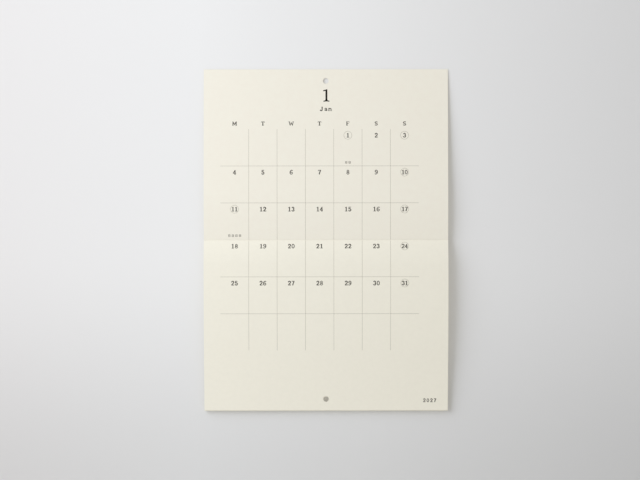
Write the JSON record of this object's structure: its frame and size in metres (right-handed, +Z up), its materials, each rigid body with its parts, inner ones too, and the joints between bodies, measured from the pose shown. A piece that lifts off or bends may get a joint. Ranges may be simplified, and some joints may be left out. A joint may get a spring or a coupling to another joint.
{
  "type": "wall calendar",
  "caption": "Stapled landscape wall calendar hung open, with a cover leaf above the fold, a block of pages below it and punched holes for a nail.",
  "frame": {"origin": "middle of the hanging hole, halfway through the upper leaf", "axes": "+X to the right as the viewer sees it, +Y into the wall, so the printed faces look along -Y, +Z up"},
  "size_m": [0.3, 0.0143, 0.42],
  "materials": {
    "cover_paper": "matte",
    "page_paper": "matte",
    "grey_ink": "matte",
    "black_ink": "matte",
    "staple_wire": "satin"
  },
  "bodies": {
    "cover": {"front_cover": "cover_paper", "month_grid_upper": "grey_ink", "day_rings_upper": "grey_ink", "month_numeral": "black_ink"},
    "block": {"page_block": "page_paper", "back_cover": "cover_paper", "staple_left": "staple_wire", "staple_right": "staple_wire", "month_grid_lower": "grey_ink", "day_rings_lower": "grey_ink"}
  },
  "joints": [
    {"name": "spine_fold", "type": "hinge", "parent": "cover", "child": "block", "pos_m": [0, -0.00633, -0.1958], "axis": [-1, 0, 0], "range_deg": [0, 145]}
  ]
}
